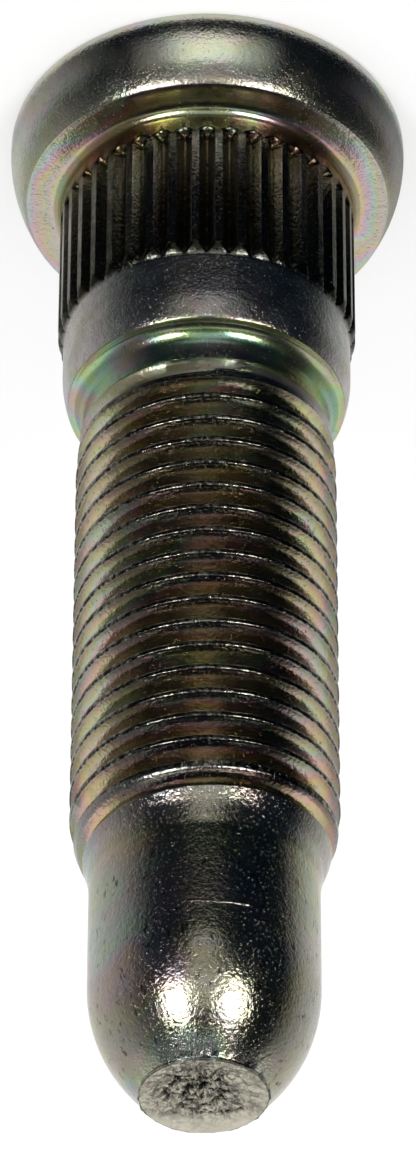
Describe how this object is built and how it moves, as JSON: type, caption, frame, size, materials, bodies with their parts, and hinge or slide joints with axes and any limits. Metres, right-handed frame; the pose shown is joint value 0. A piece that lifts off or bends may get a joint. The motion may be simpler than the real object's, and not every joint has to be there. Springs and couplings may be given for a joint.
{
  "type": "wheel stud",
  "caption": "Knurled press-in wheel stud with a round forged head, a pilot collar, a rolled right-hand thread and a rounded lead-in nose.",
  "frame": {"origin": "middle of the head's flat outer face, on which the stud stands", "axes": "+Z along the stud from its head to its tip; one groove of the knurl lies on -Y, which is the picture's side"},
  "size_m": [0.0218, 0.0218, 0.0635],
  "materials": {
    "plated_steel": "zinc plated steel with a thin yellow chromate film that shows pink, green and gold"
  },
  "bodies": {
    "root": {"wheel_stud": "plated_steel"}
  },
  "joints": []
}
